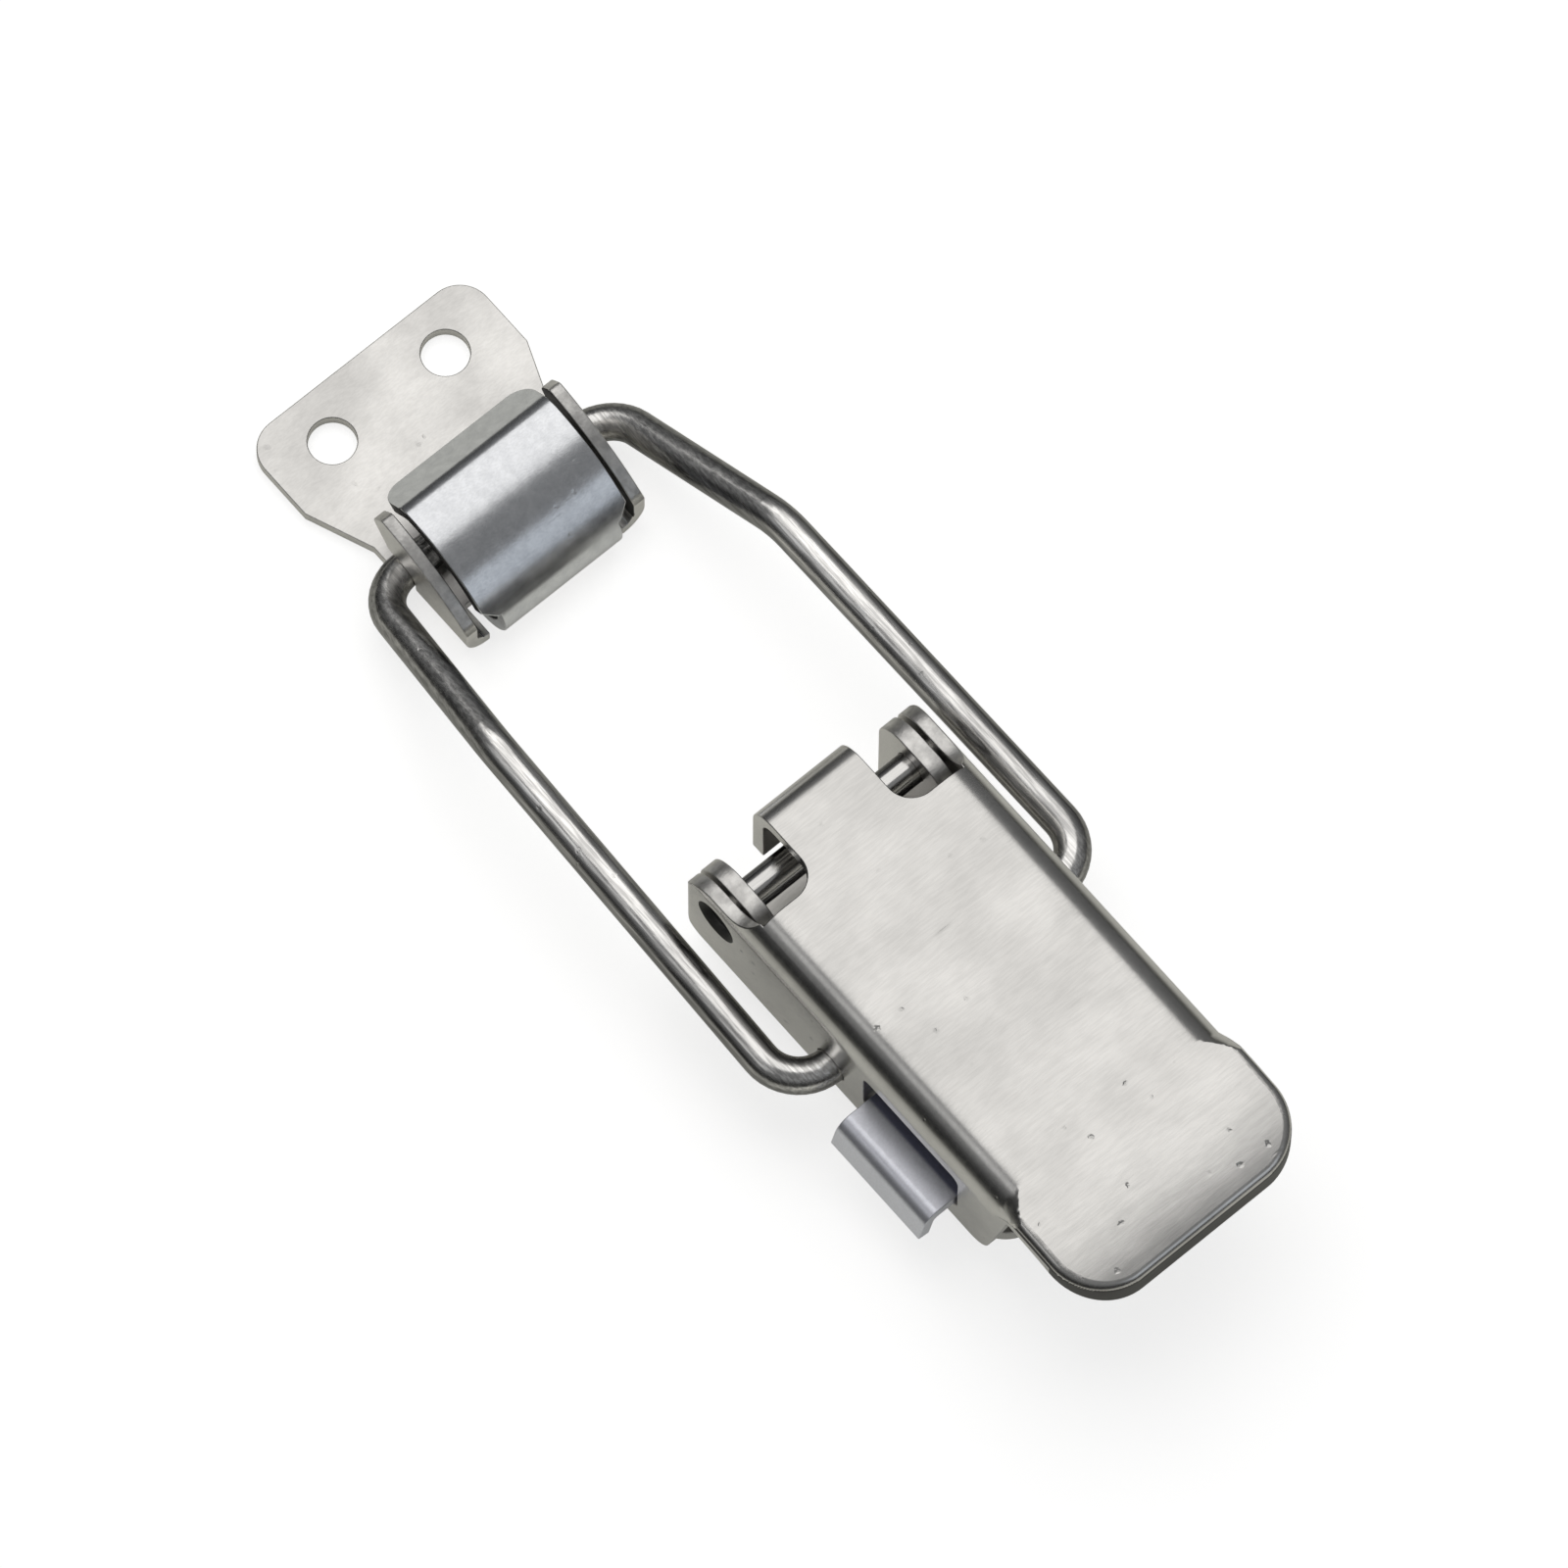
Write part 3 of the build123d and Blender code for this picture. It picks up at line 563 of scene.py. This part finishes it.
class LATCH_OT_sheets(bpy.types.Operator):
    """Finish the folded sheets: lever, keeper, base and safety catch"""

    bl_idname = "latch.sheets"
    bl_label = "Finish the sheets"

    def execute(self, context):
        finish = context.scene.latch_finish
        sheet = finish.sheet_colour
        soft = finish.edge_softness
        edge = steel(
            "cut_steel", light=rgba(sheet, 0.95), dark=rgba(sheet, 0.68), clouds=900.0,
            roughness=0.38, spread=0.05, grain=5000.0, grain_depth=20.0 * MICRON, stretch=0.8)
        lever = steel(
            "lever_steel", light=rgba(sheet, 0.92), dark=rgba(sheet, 0.76), clouds=110.0,
            roughness=0.25, grain_depth=1.6 * MICRON, stretch=0.1, pits=0.8)
        keeper = steel(
            "keeper_steel", light=rgba(sheet, 1.06), dark=rgba(sheet, 0.82), clouds=130.0,
            roughness=0.34, grain_depth=1.6 * MICRON, stretch=0.3, pits=0.5)
        # The tongue is part of the keeper's sheet in a smoother steel; its darker, bluish colour
        # is a painted reflection.
        tongue = steel(
            "tongue_steel_painted_reflection", light=rgba((0.77, 0.78, 0.80)), dark=rgba((0.68, 0.69, 0.71)),
            clouds=900.0, roughness=0.2, grain_depth=3.0 * MICRON, stretch=0.5, pits=0.15)
        base = steel(
            "base_steel", light=rgba(sheet, 0.92), dark=rgba(sheet, 0.84),
            roughness=0.33, grain_depth=3.0 * MICRON)
        # The safety catch carries painted shade where its tab goes in under the lever's side
        # wall.
        catch = steel(
            "catch_steel", light=rgba((0.90, 0.91, 0.98)), dark=rgba((0.84, 0.85, 0.92)),
            roughness=0.34, grain_depth=0.8 * MICRON, stretch=0.7, shade_strip=CATCH_SHADE_STRIP,
            metallic=0.8)
        # Painted shade: a near-black copy of the sheet steel, for walls and hollows that the
        # lamps hardly reach.
        shade = steel(
            "painted_shade_steel", light=rgba(sheet, 0.2), dark=rgba(sheet, 0.14),
            roughness=0.55, grain_depth=4.0 * MICRON)
        finished_copy(
            "lever", (lever, edge, shade), (cut_across(LEVER_WALL), lever_painted_shade), soft)
        finished_copy("base", (base, edge), (cut_across(BASE_WALL),), soft)
        finished_copy(
            "keeper", (keeper, edge, tongue, shade),
            (cut_across(KEEPER_WALL, KEEPER_EAR_LOW_Z), tongue_face, keeper_slit_painted_shade), soft)
        finished_copy("safety_catch", (catch,), (), soft)
        return {"FINISHED"}


class LATCH_OT_wires(bpy.types.Operator):
    """Finish the bail, the pivot pin and the spring"""

    bl_idname = "latch.wires"
    bl_label = "Finish the wires and the pin"

    def execute(self, context):
        wire = context.scene.latch_finish.wire_colour
        # The bail and the pin carry painted shade, darker towards their outline.
        dress("wire_bail", steel(
            "bail_steel", light=rgba(wire, 1.55), dark=rgba(wire, 1.15), roughness=0.24,
            spread=0.04, grain=4000.0, grain_depth=6.0 * MICRON, stretch=0.05, along_x=True,
            flecks=(0.7, 1.2), pits=0.4, outline_shade=rgba((0.3, 0.3, 0.3))))
        dress("pivot_pin", steel(
            "pin_steel", light=rgba(wire, 1.25), dark=rgba(wire, 1.1), roughness=0.15,
            grain_depth=1.0 * MICRON, outline_shade=rgba((0.15, 0.15, 0.15))))
        dress("catch_spring", steel(
            "spring_steel", light=rgba(wire, 0.9), dark=rgba(wire, 0.8), roughness=0.25,
            grain_depth=1.0 * MICRON))
        return {"FINISHED"}


# ---------------------------------------------------------------- stage
def aim(thing, place, target):
    """Put a lamp or the camera at place, looking at target."""
    thing.location = place
    thing.rotation_euler = (target - place).to_track_quat("-Z", "Y").to_euler()


def softbox(name, direction, size, radiance, colour):
    """An oblong area lamp that looks at the latch and shines with a given radiance."""
    lamp = bpy.data.lights.new(name, "AREA")
    lamp.shape = "RECTANGLE"
    lamp.size, lamp.size_y = size
    lamp.energy = radiance * pi * size[0] * size[1]
    lamp.color = colour
    thing = bpy.data.objects.new(name, lamp)
    bpy.context.scene.collection.objects.link(thing)
    aim(thing, LAMP_TARGET + Vector(direction).normalized() * LAMP_DISTANCE, LAMP_TARGET)


class LATCH_OT_stage(bpy.types.Operator):
    """Set the floor, the lamps, the backdrop light and the camera"""

    bl_idname = "latch.stage"
    bl_label = "Set the stage"

    def execute(self, context):
        self.floor(context.scene)
        for name, values in LAMPS.items():
            softbox(name, *values)
        self.world(context.scene)
        self.camera(context.scene)
        context.scene.view_settings.view_transform = "Standard"
        return {"FINISHED"}

    def floor(self, scene):
        mesh = bpy.data.meshes.new("floor")
        signs = ((-1, -1), (1, -1), (1, 1), (-1, 1))
        mesh.from_pydata(
            [(x * FLOOR_HALF, y * FLOOR_HALF, FLOOR_Z) for x, y in signs], [], [(0, 1, 2, 3)])
        floor = bpy.data.objects.new("floor", mesh)
        scene.collection.objects.link(floor)
        material = bpy.data.materials.new("floor_paper")
        material.use_nodes = True
        tree = Tree(material.node_tree)
        path = tree.add("ShaderNodeLightPath").outputs
        mirrored = path["Is Glossy Ray"]
        place = tree.add("ShaderNodeTexCoord").outputs["Object"]
        aside = tree.math("ABSOLUTE", tree.axes(place)["Y"])
        near = tree.remap(aside, *MIRRORED_FADE_Y, 1.0, MIRRORED_FAR_SHARE)
        dimmed = tree.mix(1.0, MIRRORED_COLOUR, near, "MULTIPLY")
        paper = tree.add(
            "ShaderNodeBsdfDiffuse", Color_in=tree.mix(mirrored, FLOOR_COLOUR, dimmed))
        mirrored_glow = tree.math(
            "MULTIPLY", tree.math("MULTIPLY", mirrored, MIRRORED_GLOW), near)
        strength = tree.math(
            "MULTIPLY_ADD", tree.seen_directly(path), FLOOR_GLOW, mirrored_glow)
        glow = tree.add("ShaderNodeEmission", Color_in=WHITE, Strength_in=strength)
        both = tree.add("ShaderNodeAddShader")
        tree.put(both.inputs[0], paper.outputs[0])
        tree.put(both.inputs[1], glow.outputs[0])
        tree.end("ShaderNodeOutputMaterial", both)
        mesh.materials.append(material)

    def world(self, scene):
        world = bpy.data.worlds.new("studio")
        scene.world = world
        world.use_nodes = True
        tree = Tree(world.node_tree)
        direction = tree.axes(tree.add("ShaderNodeTexCoord").outputs["Generated"])
        low = tree.remap(direction["Y"], *ROOM_SIDES, *ROOM_LOW_LEVELS)
        level = tree.remap(direction["Z"], *ROOM_HEIGHTS, low, ROOM_TOP_LEVEL)
        room = tree.add("ShaderNodeBackground", Color_in=ROOM_TINT, Strength_in=level)
        white = tree.add("ShaderNodeBackground", Color_in=WHITE, Strength_in=1.0)
        path = tree.add("ShaderNodeLightPath").outputs
        choose = tree.add("ShaderNodeMixShader")
        tree.put(choose.inputs[0], tree.seen_directly(path))
        tree.put(choose.inputs[1], room.outputs[0])
        tree.put(choose.inputs[2], white.outputs[0])
        tree.end("ShaderNodeOutputWorld", choose)

    def camera(self, scene):
        stage = scene.latch_stage
        data = bpy.data.cameras.new("camera")
        camera = bpy.data.objects.new("camera", data)
        scene.collection.objects.link(camera)
        a, e = stage.azimuth, stage.elevation
        back = Vector((sin(a) * cos(e), -cos(a) * cos(e), sin(e)))
        aim(camera, CAMERA_TARGET + back * stage.distance, CAMERA_TARGET)
        camera.rotation_euler.rotate_axis("Z", stage.roll)
        data.sensor_width = SENSOR_WIDTH
        data.sensor_fit = "HORIZONTAL"
        data.lens = SENSOR_WIDTH * stage.distance / stage.field
        data.clip_start = CLIP_START
        data.clip_end = CLIP_END
        scene.camera = camera


class LATCH_PT_panel(bpy.types.Panel):
    """Lists the steps and their settings."""

    bl_label = "Toggle latch"
    bl_idname = "LATCH_PT_panel"
    bl_space_type = "VIEW_3D"
    bl_region_type = "UI"
    bl_category = "Latch"

    def draw(self, context):
        for settings in (context.scene.latch_finish, context.scene.latch_stage):
            for name in settings.bl_rna.properties.keys():
                if name not in ("rna_type", "name"):
                    self.layout.prop(settings, name)
        for step in STEPS:
            self.layout.operator(step.bl_idname)


STEPS = (LATCH_OT_sheets, LATCH_OT_wires, LATCH_OT_stage)
CLASSES = (LatchFinish, LatchStage, *STEPS, LATCH_PT_panel)


def register():
    for item in CLASSES:
        bpy.utils.register_class(item)
    bpy.types.Scene.latch_finish = bpy.props.PointerProperty(type=LatchFinish)
    bpy.types.Scene.latch_stage = bpy.props.PointerProperty(type=LatchStage)


def unregister():
    del bpy.types.Scene.latch_stage
    del bpy.types.Scene.latch_finish
    for item in reversed(CLASSES):
        bpy.utils.unregister_class(item)


def main():
    register()
    for step in STEPS:
        group, name = step.bl_idname.split(".")
        getattr(getattr(bpy.ops, group), name)()


if __name__ == "__main__":
    main()
